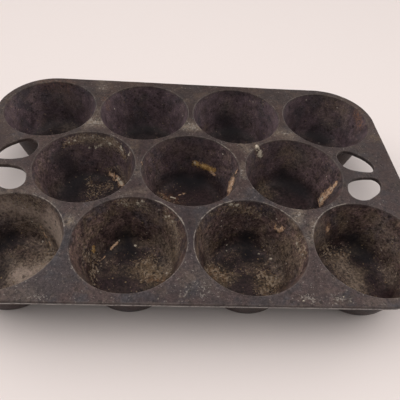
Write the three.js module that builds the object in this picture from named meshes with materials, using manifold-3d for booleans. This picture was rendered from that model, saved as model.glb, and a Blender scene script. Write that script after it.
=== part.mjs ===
// Cast-iron muffin pan with eleven tapered cups in rows of four, three and four.
// Units are millimetres, +Z is up, +X runs along the long side and +Y towards the back row.
// The origin is on the resting plane, under the centre of the middle cup.
//
// The real pan is a single iron casting: it has no fasteners, no hinges and nothing that moves.
// The casting is laid out here as its natural sections, which meet face to face:
// the deck, the eleven cups that hang from it, and at each end a grip bar and the short
// rib that ties the bar to the deck between the two finger openings.

import * as THREE from 'three';
import * as BufferGeometryUtils from 'three/addons/utils/BufferGeometryUtils.js';
import Module from 'manifold-3d';

// ---- overall ----
const HALF_LENGTH = 141.4;      // deck, along X
const HALF_WIDTH = 97.3;        // deck, along Y
const CORNER_R = 39.0;          // plan radius of the deck's four corners
const HEIGHT = 38.0;            // resting plane to the top of the deck
const DECK_T = 3.0;             // thickness of the deck

// ---- cup layout ----
const PITCH = 69.0;             // between neighbouring cups in a row
const ROW_PITCH = 59.2;         // between rows; the middle row is shifted by half a pitch

// ---- cup section ----
const MOUTH_R = 32.6;           // inner radius at the top of the deck
const FLOOR_R = 23.6;           // inner wall carried down to the floor level
const FLOOR_T = 3.0;            // thickness of the cup floor
const FLOOR_FILLET = 8.0;       // inside, wall to floor
const OUTER_TOP_R = 33.9;       // outer wall where it meets the underside of the deck
const OUTER_BASE_R = 25.3;      // outer wall carried down to the resting plane
const BASE_FILLET = 7.0;        // outside, wall to base
const SEGMENTS = 40;            // facets round a cup
const FILLET_STEPS = 4;         // facets across a rounded corner

// ---- grips ----
const GRIP_X = 122.0;           // where the grip bar's section starts
const GRIP_HALF_Y = 14.0;       // half length of the grip bar's section
const RIB_X = 108.0;            // where the rib's section starts
const RIB_HALF_Y = 6.0;         // half of the space that holds the rib
// Outline of one finger opening, at the +X end and on its +Y side, before smoothing.
const OPENING = [
  [102.7, 13.1], [104.3, 8.4], [107.7, 5.2], [113.4, 3.3], [118.1, 2.7], [123.6, 3.2],
  [126.2, 6.7], [125.7, 10.9], [123.1, 15.3], [118.5, 19.4], [112.9, 22.7], [107.9, 22.9],
  [104.2, 20.7], [102.5, 17.0],
];
const OPENING_STEPS = 28;

const DECK_Z = HEIGHT - DECK_T;

const wasm = await Module();
wasm.setup();

// ---- solids ----
function toManifold(geometry) {
  const g = geometry.clone();
  g.deleteAttribute('normal');
  g.deleteAttribute('uv');
  const merged = BufferGeometryUtils.mergeVertices(g, 1e-4);
  return new wasm.Manifold(new wasm.Mesh({
    numProp: 3,
    vertProperties: new Float32Array(merged.attributes.position.array),
    triVerts: new Uint32Array(merged.index.array),
  }));
}

function toGeometry(manifold) {
  const mesh = manifold.getMesh();
  const g = new THREE.BufferGeometry();
  g.setAttribute('position', new THREE.BufferAttribute(new Float32Array(mesh.vertProperties), 3));
  g.setIndex(new THREE.BufferAttribute(new Uint32Array(mesh.triVerts), 1));
  g.computeVertexNormals();
  return g;
}

function block(x0, x1, y0, y1, z0, z1) {
  const g = new THREE.BoxGeometry(x1 - x0, y1 - y0, z1 - z0);
  g.translate((x0 + x1) / 2, (y0 + y1) / 2, (z0 + z1) / 2);
  return toManifold(g);
}

// A solid of revolution about Z, from [radius, height] pairs that start and end on the axis.
function revolve(profile, segments) {
  const g = new THREE.LatheGeometry(profile.map(([r, z]) => new THREE.Vector2(r, z)), segments);
  g.rotateX(Math.PI / 2);
  return g;
}

// Points of a rounded corner between a sloping wall and a level surface.
// r is where the wall line meets the level z; slope is the wall's run over its rise.
function filletPoints(r, z, slope, radius, steps) {
  const lean = Math.atan(slope);
  const tangent = radius / Math.tan((Math.PI / 2 + lean) / 2);
  const centre = [r - tangent, z + radius];
  const points = [];
  for (let i = 0; i <= steps; i += 1) {
    const a = -Math.PI / 2 + (Math.PI / 2 - lean) * (i / steps);
    points.push([centre[0] + radius * Math.cos(a), centre[1] + radius * Math.sin(a)]);
  }
  return points;
}

// ---- the cup ----
const innerSlope = (MOUTH_R - FLOOR_R) / (HEIGHT - FLOOR_T);
const outerSlope = (OUTER_TOP_R - OUTER_BASE_R) / DECK_Z;
const innerAtDeck = MOUTH_R - innerSlope * DECK_T;

const cupProfile = [
  [0, 0],
  ...filletPoints(OUTER_BASE_R, 0, outerSlope, BASE_FILLET, FILLET_STEPS),
  [OUTER_TOP_R, DECK_Z],
  [innerAtDeck, DECK_Z],
  ...filletPoints(FLOOR_R, FLOOR_T, innerSlope, FLOOR_FILLET, FILLET_STEPS).reverse(),
  [0, FLOOR_T],
];
const cupGeometry = toGeometry(toManifold(revolve(cupProfile, SEGMENTS)));

// ---- the deck blank: a rounded rectangle with the four finger openings ----
function roundedRectangle(hx, hy, r) {
  const s = new THREE.Shape();
  s.moveTo(-hx + r, -hy);
  s.lineTo(hx - r, -hy);
  s.absarc(hx - r, -hy + r, r, -Math.PI / 2, 0, false);
  s.lineTo(hx, hy - r);
  s.absarc(hx - r, hy - r, r, 0, Math.PI / 2, false);
  s.lineTo(-hx + r, hy);
  s.absarc(-hx + r, hy - r, r, Math.PI / 2, Math.PI, false);
  s.lineTo(-hx, -hy + r);
  s.absarc(-hx + r, -hy + r, r, Math.PI, 1.5 * Math.PI, false);
  return s;
}

const openingCurve = new THREE.CatmullRomCurve3(
  OPENING.map(([x, y]) => new THREE.Vector3(x, y, 0)), true, 'centripetal');
const openingPoints = openingCurve.getSpacedPoints(OPENING_STEPS).slice(0, OPENING_STEPS);

function openingPath(sx, sy) {
  return new THREE.Path(openingPoints.map((p) => new THREE.Vector2(sx * p.x, sy * p.y)));
}

const outline = roundedRectangle(HALF_LENGTH, HALF_WIDTH, CORNER_R);
for (const sx of [-1, 1]) for (const sy of [-1, 1]) outline.holes.push(openingPath(sx, sy));
const blankGeometry = new THREE.ExtrudeGeometry(outline, { depth: DECK_T, bevelEnabled: false, curveSegments: 8 });
blankGeometry.translate(0, 0, DECK_Z);
let deck = toManifold(blankGeometry);

// ---- cup mouths ----
const cups = [];
for (let i = 0; i < 4; i += 1) cups.push([`cup_back_${i + 1}`, (i - 1.5) * PITCH, ROW_PITCH]);
for (let i = 0; i < 3; i += 1) cups.push([`cup_middle_${i + 1}`, (i - 1) * PITCH, 0]);
for (let i = 0; i < 4; i += 1) cups.push([`cup_front_${i + 1}`, (i - 1.5) * PITCH, -ROW_PITCH]);

const mouthProfile = [
  [0, DECK_Z - 1], [innerAtDeck - innerSlope, DECK_Z - 1],
  [MOUTH_R + innerSlope, HEIGHT + 1], [0, HEIGHT + 1],
];
for (const [, x, y] of cups) {
  const cutter = revolve(mouthProfile, SEGMENTS);
  cutter.translate(x, y, 0);
  deck = deck.subtract(toManifold(cutter));
}

// ---- grip bars and ribs, taken out of the deck ----
const sections = [];
for (const [side, s] of [['left', -1], ['right', 1]]) {
  const span = (a, b) => (s > 0 ? [a, b] : [-b, -a]);
  const grip = block(...span(GRIP_X, HALF_LENGTH + 5), -GRIP_HALF_Y, GRIP_HALF_Y, DECK_Z - 1, HEIGHT + 1);
  const rib = block(...span(RIB_X, GRIP_X), -RIB_HALF_Y, RIB_HALF_Y, DECK_Z - 1, HEIGHT + 1);
  sections.push([`grip_${side}`, deck.intersect(grip)]);
  sections.push([`rib_${side}`, deck.intersect(rib)]);
  deck = deck.subtract(grip).subtract(rib);
}

// ---- scene graph ----
const iron = () => new THREE.MeshStandardMaterial({ color: 0x3a342f, roughness: 0.62, metalness: 0.55 });

const pan = new THREE.Group();
pan.name = 'muffin_pan';

function addMesh(name, geometry, x = 0, y = 0) {
  const mesh = new THREE.Mesh(geometry, iron());
  mesh.name = name;
  mesh.position.set(x, y, 0);
  pan.add(mesh);
}

addMesh('deck', toGeometry(deck));
for (const [name, solid] of sections) addMesh(name, toGeometry(solid));
for (const [name, x, y] of cups) addMesh(name, cupGeometry.clone(), x, y);

export default pan;
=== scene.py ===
import math

import bmesh
import bpy
import numpy as np
from mathutils import Matrix, Vector
from mathutils.geometry import delaunay_2d_cdt


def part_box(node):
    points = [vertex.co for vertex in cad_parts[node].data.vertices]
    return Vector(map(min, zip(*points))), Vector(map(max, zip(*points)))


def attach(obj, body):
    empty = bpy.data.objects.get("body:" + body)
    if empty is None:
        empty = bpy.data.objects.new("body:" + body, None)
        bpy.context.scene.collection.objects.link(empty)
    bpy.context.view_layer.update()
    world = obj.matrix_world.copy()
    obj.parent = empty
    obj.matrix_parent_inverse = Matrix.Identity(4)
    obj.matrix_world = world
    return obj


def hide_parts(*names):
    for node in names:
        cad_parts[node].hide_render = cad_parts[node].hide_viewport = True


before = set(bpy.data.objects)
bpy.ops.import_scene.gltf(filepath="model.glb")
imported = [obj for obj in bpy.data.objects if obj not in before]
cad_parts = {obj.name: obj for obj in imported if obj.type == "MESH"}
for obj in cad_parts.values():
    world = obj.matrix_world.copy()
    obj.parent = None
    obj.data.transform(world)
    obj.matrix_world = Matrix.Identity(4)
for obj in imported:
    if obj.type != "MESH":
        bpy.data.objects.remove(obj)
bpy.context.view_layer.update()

# Lengths below are millimetres in the row's frame; they become metres when a mesh is made.
MM = 0.001

# ------------------------------------------------------------------ frame
def box_mm(node):
    lo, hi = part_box(node)
    return np.array(lo) * 1000.0, np.array(hi) * 1000.0


CUP_NODES = sorted(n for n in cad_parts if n.startswith("cup_"))
CUPS = {}
for n in CUP_NODES:
    lo, hi = box_mm(n)
    CUPS[n] = ((lo[0] + hi[0]) / 2.0, (lo[1] + hi[1]) / 2.0)
_lo, _hi = box_mm("deck")
HALF_L, HALF_W, TOP = _hi[0], _hi[1], _hi[2]
DECK_Z = _lo[2]
_lo, _hi = box_mm("cup_middle_2")
OUT_TOP_R = (_hi[0] - _lo[0]) / 2.0
GRIP_X = abs(box_mm("grip_right")[0][0])
GRIP_Y = box_mm("grip_right")[1][1]
RIB_X = abs(box_mm("rib_right")[0][0])

CORNER_R = 39.0
MOUTH_R = 32.6
FLOOR_R = 23.6
FLOOR_T = 3.0
FLOOR_FILLET = 8.0
OUT_BASE_R = 25.3
BASE_FILLET = 7.0
LIP = 0.9            # rounding of a cup's mouth
EDGE_TOP = 0.8       # rounding of the deck's upper arris
EDGE_LOW = 0.7       # rounding of the lower arris
FLARE = 1.4          # fillet under the deck, round each cup
SEG = 192            # steps round a cup

OPENING = [
    (102.7, 13.1), (104.3, 8.4), (107.7, 5.2), (113.4, 3.3), (118.1, 2.7), (123.6, 3.2),
    (126.2, 6.7), (125.7, 10.9), (123.1, 15.3), (118.5, 19.4), (112.9, 22.7), (107.9, 22.9),
    (104.2, 20.7), (102.5, 17.0),
]

IN_SLOPE = (MOUTH_R - FLOOR_R) / (TOP - FLOOR_T)
OUT_SLOPE = (OUT_TOP_R - OUT_BASE_R) / DECK_Z

# ------------------------------------------------------------------ seeded gradient noise
_rng = np.random.RandomState(11)
_PERM = _rng.permutation(256)
_GRAD = _rng.normal(size=(256, 3))
_GRAD /= np.linalg.norm(_GRAD, axis=1)[:, None]


def noise(p, scale, seed=0.0):
    q = np.asarray(p, float) / scale + np.array([seed * 17.13, seed * 5.71, seed * 9.37])
    i = np.floor(q).astype(int)
    f = q - i
    u = f * f * f * (f * (f * 6 - 15) + 10)
    out = np.zeros(len(q))
    for dx in (0, 1):
        a = _PERM[(i[:, 0] + dx) & 255]
        wx = u[:, 0] if dx else 1 - u[:, 0]
        for dy in (0, 1):
            b = _PERM[(a + i[:, 1] + dy) & 255]
            wy = u[:, 1] if dy else 1 - u[:, 1]
            for dz in (0, 1):
                c = _PERM[(b + i[:, 2] + dz) & 255]
                wz = u[:, 2] if dz else 1 - u[:, 2]
                g = _GRAD[c]
                d = f - np.array([dx, dy, dz])
                out += wx * wy * wz * (g * d).sum(1)
    return out * 1.6


def smooth(a, b, x):
    t = np.clip((x - a) / (b - a), 0, 1)
    return t * t * (3 - 2 * t)


# ------------------------------------------------------------------ marks left by years of baking, with painted shade and painted highlights among them
# (kind, points along the mark, half width, strength)
MARKS = [
    # back row
    ("rust", [(-114.1, 89.7, 36.7), (-97.7, 90.2, 33.7)], 8.0, 0.35),
    ("yellow", [(-120.5, 77.9, 9.3), (-119.0, 77.0, 9.0)], 5.0, 0.5),
    ("rust", [(-65.0, 73.1, 38.0), (-63.7, 69.5, 31.4)], 5.5, 0.3),
    ("yellow", [(13.0, 73.9, 12.4), (12.0, 66.0, 10.0)], 6.0, 0.7),
    ("rust", [(132.9, 71.4, 35.1), (134.2, 61.6, 30.9)], 5.0, 0.8),
    ("yellow", [(125.8, 80.7, 31.7), (113.9, 88.8, 33.1)], 7.0, 0.6),
    ("dust", [(113.3, 88.7, 32.2), (124.6, 81.6, 31.0), (130.0, 74.0, 22.0)], 6.0, 0.30),
    ("speck", [(58.0, 80.9, 35.6), (58.7, 80.3, 36.1)], 2.5, 0.6),
    ("dust", [(-101.4, 77.9, 3.1), (-94.0, 74.0, 3.0)], 7.0, 0.4),
    ("dust", [(-102.7, 88.7, 26.0), (-95.0, 88.0, 22.0)], 10.0, 0.30),
    ("dust", [(33.6, 87.6, 21.5), (30.0, 88.0, 26.0)], 8.0, 0.30),
    ("dust", [(118.9, 81.7, 17.2), (112.0, 86.0, 24.0)], 8.0, 0.40),
    # middle row, left cup
    ("speck", [(-86.7, 25.5, 31.9), (-75.1, 30.9, 33.4), (-64.1, 30.8, 32.3), (-55.2, 28.4, 33.9), (-49.4, 23.7, 30.9), (-45.5, 19.0, 28.7)], 5.0, 1.45),
    ("dust", [(-76.1, 30.9, 33.0), (-66.0, 30.6, 31.0), (-54.0, 28.0, 31.0)], 5.5, 0.68),
    ("dust", [(-47.6, 16.0, 14.9), (-45.0, 10.0, 12.0)], 6.0, 0.5),
    ("dust", [(-94.1, 4.5, 10.2), (-92.0, 8.0, 8.0)], 6.0, 0.4),
    ("yellow", [(-77.1, 30.9, 33.4), (-55.2, 28.4, 31.9)], 7.0, 0.5),
    ("yellow", [(-41.4, 10.3, 25.8), (-43.2, 7.9, 16.2)], 4.0, 0.6),
    ("crust", [(-57.6, 21.8, 7.5), (-55.3, 20.2, 7.2)], 1.9, 0.95),
    ("crust", [(-53.6, 19.0, 7.2), (-51.2, 16.5, 6.9), (-48.6, 12.9, 6.6)], 2.7, 0.95),
    ("pale", [(-51.5, 16.9, 7.4), (-48.8, 12.9, 7.0)], 1.6, 0.9),
    ("speck", [(-73.1, 19.0, 3.2), (-70.3, 1.5, 3.0), (-64.4, 9.6, 3.0), (-58.0, 14.0, 3.5)], 6.5, 0.78),
    ("speck", [(-58.4, 22.7, 8.6), (-51.8, 20.0, 13.8), (-47.0, 12.0, 10.0)], 6.0, 0.8),
    ("plum", [(-95.0, 2.0, 24.0), (-92.0, -4.0, 12.0)], 9.0, 0.5),
    # middle row, middle cup
    ("ochre", [(4.1, 26.9, 17.0), (7.8, 26.0, 16.5), (11.6, 24.3, 15.9)], 2.4, 1.0),
    ("ochre", [(11.6, 24.3, 15.9), (14.8, 22.4, 16.2), (18.0, 20.4, 16.9)], 2.1, 1.0),
    ("pale", [(3.6, 27.2, 17.6), (4.4, 26.7, 15.9)], 1.0, 0.9),
    ("crust", [(9.2, 25.4, 17.2), (12.0, 24.1, 16.4)], 0.9, 0.8),
    ("crust", [(16.0, 21.4, 15.0), (18.6, 19.2, 13.6)], 1.6, 0.9),
    ("rust", [(-18.7, 5.4, 3.2), (-11.2, 3.0, 3.0), (-6.7, 1.4, 3.0)], 5.5, 0.75),
    ("speck", [(-20.7, 5.4, 3.2), (-11.9, 1.2, 3.0), (-1.8, 2.6, 3.0)], 5.0, 0.75),
    ("pale", [(-13.0, 5.0, 3.0), (-10.0, 3.8, 3.0)], 0.8, 0.7),
    ("crust", [(-7.0, 7.0, 3.0), (-2.5, 8.9, 3.0)], 0.8, 0.8),
    ("plum", [(0.0, 4.0, 3.0), (10.0, 8.0, 3.0)], 20.0, 1.0),
    ("dust", [(0.0, 29.9, 27.2), (5.0, 29.5, 27.0)], 6.0, 0.35),
    ("plum", [(-12.0, 27.0, 26.0), (12.0, 28.0, 26.0)], 16.0, 0.35),
    ("crust", [(28.1, -0.5, 20.4), (28.6, 0.0, 23.0)], 5.0, 1.0),
    ("crust", [(28.8, 0.4, 24.6), (29.6, 1.9, 27.4)], 1.9, 0.95),
    ("crust", [(30.6, 2.8, 31.0), (31.8, 3.8, 35.5)], 1.1, 0.7),
    ("rust", [(28.0, -2.0, 18.0), (27.0, -4.0, 15.0)], 3.0, 0.8),
    ("rust", [(6.0, 25.5, 14.0), (13.0, 22.5, 13.0)], 3.0, 0.6),
    ("crust", [(-32.2, 3.7, 37.3), (-32.1, 2.6, 36.6)], 1.0, 0.7),
    # middle row, right cup
    ("crust", [(94.8, -1.8, 11.6), (95.8, -1.6, 15.5)], 4.0, 1.0),
    ("crust", [(96.1, -1.6, 16.8), (98.0, -2.5, 24.2)], 3.1, 1.0),
    ("crust", [(98.3, -2.5, 25.0), (99.5, -2.4, 30.3)], 1.9, 0.9),
    ("pale", [(94.8, -1.4, 11.0), (95.6, -1.2, 13.8)], 1.8, 0.8),
    ("pale", [(46.6, 23.8, 37.6), (48.6, 24.1, 33.9)], 1.7, 0.9),
    ("pale", [(49.6, 24.3, 32.5), (50.4, 24.2, 29.6)], 2.2, 1.0),
    ("yellow", [(46.6, 23.6, 37.9), (50.0, 24.2, 28.9)], 4.5, 1.0),
    ("yellow", [(70.9, 30.6, 30.1), (75.3, 28.8, 26.0), (74.0, 27.0, 19.0)], 7.0, 0.8),
    ("yellow", [(55.5, 17.7, 4.6), (58.0, 10.0, 3.0)], 8.0, 0.7),
    ("dust", [(73.4, 29.7, 28.1), (83.1, 25.7, 25.3)], 10.0, 0.42),
    ("plum", [(76.0, 2.0, 3.0), (86.0, 6.0, 3.0)], 11.0, 0.9),
    ("plum", [(-70.0, -2.0, 3.0), (-82.0, 2.0, 3.0)], 10.0, 0.5),
    # the deck
    ("dust", [(-73.7, 43.1, 38.0), (-63.9, 43.8, 38.0)], 7.5, 1.0),
    ("dust", [(-68.9, 48.0, 38.0), (-69.0, 58.0, 38.0)], 3.0, 0.5),
    ("dust", [(-4.0, 43.5, 38.0), (5.8, 42.7, 38.0)], 6.5, 1.0),
    ("dust", [(-71.0, 95.0, 38.0), (-69.0, 86.0, 38.0)], 6.5, 0.55),
    ("dust", [(62.0, 42.0, 38.0), (72.8, 37.5, 38.0)], 7.0, 0.65),
    ("dust", [(33.7, 29.0, 38.0), (39.0, 20.0, 38.0)], 6.0, 0.8),
    ("dust", [(35.0, 6.0, 38.0), (34.5, -6.0, 38.0)], 3.0, 0.6),
    ("dust", [(-34.5, 8.0, 38.0), (-34.5, -8.0, 38.0)], 3.5, 0.35),
    ("dust", [(-69.3, -46.0, 38.0), (-69.0, -47.5, 38.0)], 4.5, 1.0),
    ("dust", [(63.1, -41.1, 38.0), (65.5, -34.8, 38.0)], 6.0, 0.8),
    ("plum", [(-2.0, -38.0, 38.0), (0.0, -60.0, 38.0)], 8.0, 0.50),
    ("plum", [(34.0, 26.0, 38.0), (34.0, 12.0, 38.0)], 6.0, 0.40),
    ("plum", [(-5.5, -93.2, 38.0), (-24.0, -94.0, 38.0)], 5.0, 0.30),
    ("dust", [(75.0, -43.0, 38.0), (70.0, -55.6, 38.0)], 5.5, 0.75),
    ("speck", [(-71.0, 43.1, 38.0), (-65.9, 43.8, 38.0)], 5.0, 1.0),
    ("speck", [(-3.0, 43.5, 38.0), (3.0, 42.0, 38.0)], 5.0, 1.0),
    ("dust", [(-38.0, -24.0, 38.0), (-30.0, -22.0, 38.0)], 4.5, 0.5),
    ("speck", [(-3.0, -90.9, 38.0), (2.1, -86.2, 38.0), (8.3, -89.0, 38.0)], 7.0, 0.45),
    ("dust", [(-1.0, -84.0, 38.0), (2.5, -78.0, 38.0), (10.0, -86.0, 38.0)], 5.5, 0.22),
    ("dust", [(-108.0, -93.0, 38.0), (-80.0, -93.0, 38.0)], 7.0, 0.25),
    ("plum", [(-32.0, 30.0, 38.0), (-34.0, 6.0, 38.0)], 7.5, 0.55),
    ("plum", [(-100.0, -4.0, 38.0), (-104.0, 8.0, 38.0)], 6.0, 0.45),
    ("plum", [(-36.0, -14.0, 38.0), (-34.0, -24.0, 38.0)], 6.0, 0.45),
    ("plum", [(0.0, 57.0, 38.0), (-1.0, 66.0, 38.0)], 6.0, 0.40),
    ("plum", [(-134.0, 30.0, 38.0), (-130.0, -26.0, 38.0)], 14.0, 0.38),
    ("plum", [(134.0, 26.0, 38.0), (133.0, -28.0, 38.0)], 14.0, 0.38),
    ("plum", [(104.0, 30.0, 38.0), (108.0, -26.0, 38.0)], 7.0, 0.35),
    ("yellow", [(135.7, 38.8, 38.0), (139.7, 36.8, 38.0)], 6.0, 0.7),
    ("yellow", [(-41.0, 12.0, 38.0), (-38.0, 22.0, 38.0)], 6.0, 0.5),
    ("speck", [(58.4, -92.6, 38.0), (62.5, -93.0, 38.0)], 3.5, 0.9),
    ("speck", [(77.5, -92.2, 38.0), (82.7, -92.6, 38.0)], 3.5, 0.9),
    ("speck", [(-76.1, -95.0, 38.0), (-73.0, -95.4, 38.0)], 3.0, 0.8),
    # front row, first cup
    ("crust", [(-93.6, -34.1, 16.2), (-92.4, -35.2, 13.8)], 0.75, 0.8),
    ("crust", [(-91.6, -36.4, 11.5), (-90.6, -37.5, 9.2)], 0.95, 0.9),
    ("crust", [(-89.0, -39.8, 6.9), (-87.6, -41.8, 6.1)], 0.8, 0.8),
    ("speck", [(-98.6, -32.0, 18.8), (-91.8, -36.1, 12.0), (-88.3, -39.9, 6.7), (-86.0, -44.2, 4.1), (-88.2, -49.5, 3.0), (-90.1, -56.9, 3.0)], 5.5, 1.0),
    ("speck", [(-109.4, -28.8, 31.8), (-101.0, -28.9, 29.5), (-92.2, -30.0, 33.1)], 6.0, 1.0),
    ("dust", [(-112.0, -30.5, 30.0), (-103.0, -30.0, 26.0), (-90.0, -34.0, 24.0), (-80.5, -46.0, 22.0), (-79.5, -62.0, 20.0)], 15.0, 1.0),
    ("dust", [(-88.0, -44.0, 6.0), (-84.0, -52.0, 10.0)], 9.0, 0.8),
    ("dust", [(-86.0, -37.0, 22.0), (-79.5, -46.0, 19.0), (-77.5, -57.0, 17.0)], 14.0, 1.4),
    ("dust", [(-84.0, -34.0, 30.0), (-76.0, -45.0, 27.0), (-74.0, -58.0, 25.0)], 10.0, 1.1),
    ("dust", [(-93.0, -34.6, 15.5), (-89.5, -39.0, 8.0), (-86.6, -43.0, 5.7), (-86.0, -51.0, 4.0)], 7.5, 0.7),
    ("dust", [(-101.4, -33.7, 10.6), (-108.0, -36.0, 14.0)], 8.0, 0.5),
    ("dust", [(-110.8, -51.6, 3.0), (-106.0, -58.0, 3.0)], 8.0, 0.9),
    ("dust", [(-102.0, -62.0, 3.0), (-94.0, -64.0, 3.0), (-88.0, -58.0, 4.0)], 16.0, 1.15),
    ("yellow", [(-106.8, -58.7, 3.0), (-92.4, -52.6, 3.0)], 11.0, 0.5),
    # front row, second cup
    ("crust", [(-49.6, -42.6, 4.6), (-46.0, -38.6, 6.1)], 0.85, 1.0),
    ("ochre", [(-58.9, -48.9, 13.8), (-58.9, -49.8, 12.4)], 2.0, 0.95),
    ("speck", [(-62.2, -57.2, 19.2), (-57.9, -53.9, 6.4), (-57.8, -64.7, 5.9), (-57.2, -70.2, 6.3)], 5.5, 1.0),
    ("crust", [(-55.5, -52.0, 4.4), (-53.0, -48.0, 4.0)], 0.7, 0.7),
    ("pale", [(-41.8, -28.1, 34.4), (-39.7, -28.3, 32.0)], 1.5, 0.6),
    ("pale", [(-33.3, -27.8, 33.5), (-28.2, -30.2, 30.5)], 1.6, 0.5),
    ("speck", [(-43.0, -28.0, 34.0), (-27.0, -30.5, 31.0)], 5.0, 1.0),
    ("yellow", [(-28.8, -58.2, 3.0), (-12.5, -60.9, 3.4)], 10.0, 1.0),
    ("yellow", [(-10.9, -41.7, 25.3), (-8.0, -53.3, 16.7), (-12.0, -46.0, 9.0)], 8.0, 0.9),
    ("speck", [(-13.6, -36.7, 30.7), (-9.2, -41.8, 30.6), (-6.9, -53.3, 20.9)], 6.5, 0.9),
    ("dust", [(-10.5, -41.0, 26.0), (-7.5, -53.3, 19.0), (-12.0, -50.0, 9.0)], 8.5, 0.48),
    ("dust", [(-33.0, -29.0, 32.0), (-26.0, -30.0, 30.0), (-18.5, -37.0, 26.0)], 7.0, 0.45),
    ("dust", [(-18.5, -39.2, 11.0), (-12.0, -46.0, 9.0), (-12.5, -55.0, 6.0)], 8.5, 0.72),
    ("dust", [(-55.7, -45.1, 10.1), (-58.0, -50.0, 12.0)], 5.0, 0.45),
    ("speck", [(-30.4, -53.1, 3.0), (-24.3, -50.8, 3.0), (-23.7, -60.2, 3.0), (-14.5, -58.1, 3.4)], 8.0, 0.8),
    ("rust", [(-24.0, -62.5, 3.0), (-15.0, -64.0, 4.0)], 3.5, 0.55),
    ("plum", [(-50.0, -66.2, 3.0), (-40.0, -68.0, 3.0)], 10.0, 1.0),
    ("pale", [(-34.8, -38.8, 3.6), (-34.4, -38.9, 3.6)], 0.65, 0.9),
    # front row, third cup
    ("crust", [(54.8, -38.5, 25.6), (56.6, -39.5, 27.0)], 2.4, 0.95),
    ("pale", [(46.4, -42.7, 3.2), (46.8, -42.9, 3.2)], 0.65, 0.9),
    ("rust", [(15.7, -57.2, 3.1), (20.0, -60.6, 3.0)], 5.5, 0.6),
    ("yellow", [(15.7, -57.2, 3.1), (22.5, -61.2, 3.0)], 8.0, 1.0),
    ("speck", [(14.4, -56.1, 4.0), (22.5, -61.2, 3.0)], 7.5, 1.0),
    ("yellow", [(46.1, -64.9, 3.0), (55.0, -64.8, 3.1)], 8.0, 0.7),
    ("speck", [(46.9, -58.5, 3.0), (54.3, -64.4, 3.6), (46.8, -69.8, 3.0)], 7.5, 1.0),
    ("yellow", [(60.7, -47.5, 23.0), (60.0, -51.2, 15.3), (63.0, -60.7, 22.2)], 8.0, 0.9),
    ("speck", [(64.3, -51.9, 30.5), (65.6, -61.7, 32.5)], 5.0, 1.0),
    ("dust", [(61.7, -47.5, 23.0), (61.0, -53.2, 15.3), (63.0, -60.7, 22.2)], 8.5, 0.40),
    ("dust", [(10.9, -44.3, 19.5), (11.7, -49.3, 8.0)], 6.0, 0.5),
    ("dust", [(50.9, -39.4, 11.1), (57.0, -50.0, 8.0), (58.8, -62.2, 7.4)], 6.5, 0.6),
    ("yellow", [(5.5, -45.5, 34.1), (4.5, -54.0, 30.0)], 6.0, 0.7),
    ("speck", [(24.4, -29.0, 34.8), (33.0, -28.0, 32.0), (41.7, -29.8, 28.7)], 6.0, 0.9),
    ("plum", [(34.0, -66.0, 3.0), (40.0, -74.0, 4.0)], 7.5, 0.9),
    # front row, fourth cup
    ("crust", [(88.9, -34.6, 23.0), (89.6, -35.2, 20.4)], 1.5, 1.0),
    ("rust", [(88.4, -34.6, 25.0), (90.4, -35.6, 18.0)], 3.2, 0.7),
    ("yellow", [(97.6, -29.1, 30.5), (99.0, -29.5, 24.0)], 6.0, 0.9),
    ("yellow", [(99.7, -49.7, 3.0), (105.8, -57.1, 3.0), (106.8, -64.9, 3.0)], 9.0, 0.9),
    ("dust", [(100.7, -50.7, 3.0), (105.8, -57.1, 3.0), (106.8, -64.9, 3.0)], 9.0, 0.75),
    ("speck", [(89.6, -39.5, 7.2), (94.9, -40.9, 3.5), (105.3, -41.0, 3.0)], 7.0, 1.0),
    ("dust", [(125.9, -43.4, 17.8), (130.0, -50.0, 22.0)], 11.0, 0.50),
    ("dust", [(80.0, -38.0, 28.0), (85.6, -37.4, 14.0)], 8.5, 0.68),
    ("dust", [(120.9, -34.3, 29.0), (126.0, -40.0, 24.0)], 8.0, 0.6),
    ("dust", [(128.2, -63.7, 9.0), (128.0, -56.0, 9.0)], 8.0, 0.7),
    ("plum", [(119.6, -62.0, 3.0), (121.4, -72.1, 5.3)], 8.0, 1.0),
]


def lip_arc(cup, start, end):
    """Points along a cup's lip, between two plan angles in degrees."""
    c = CUPS[cup]
    k = max(3, int(abs(end - start) / 8))
    angles = [math.radians(start + (end - start) * i / k) for i in range(k + 1)]
    return [(c[0] + (MOUTH_R + 0.35) * math.cos(a), c[1] + (MOUTH_R + 0.35) * math.sin(a), TOP - 0.2) for a in angles]


# single pale crumbs, each with its half width
for x, y, z, half in [
    (-84.9, 26.8, 32.3, 0.8), (-81.1, 28.8, 32.5, 0.9), (-75.1, 30.9, 33.4, 0.8), (-71.7, 29.4, 26.0, 0.9), (-67.4, 29.5, 26.2, 1.1),
    (-64.0, 29.6, 28.0, 1.2), (-61.1, 30.5, 33.6, 0.8), (-56.9, 28.4, 31.2, 1.2), (-55.8, 29.4, 36.6, 0.8), (-51.4, 26.5, 34.8, 0.9),
    (-48.5, 23.5, 32.5, 1.3), (-47.8, 22.4, 31.2, 1.0), (-42.2, 16.1, 32.6, 1.0), (-41.4, 15.9, 35.1, 0.8),
    (-40.2, -28.3, 33.2, 1.2), (-32.4, -28.0, 32.8, 1.1), (-29.2, -27.7, 35.4, 1.2), (-14.8, -35.7, 30.4, 0.9), (-13.0, -36.6, 32.5, 0.8),
    (-10.5, -39.9, 31.0, 1.0), (24.9, -28.5, 36.1, 1.1), (28.9, -27.9, 34.7, 1.2), (40.3, -30.5, 24.9, 0.7), (64.0, -51.9, 29.4, 1.1),
    (65.3, -61.7, 31.4, 1.0), (53.7, -47.5, 4.8, 0.7), (60.2, -91.0, 38.0, 0.6), (57.5, -94.2, 38.0, 0.6), (79.6, -91.2, 38.0, 0.6), (82.6, -94.5, 38.0, 0.6), (72.6, -86.5, 38.0, 0.55),
]:
    MARKS.append(("pale", [(x - 0.2, y, z), (x + 0.2, y, z)], half, 0.9))
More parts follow.
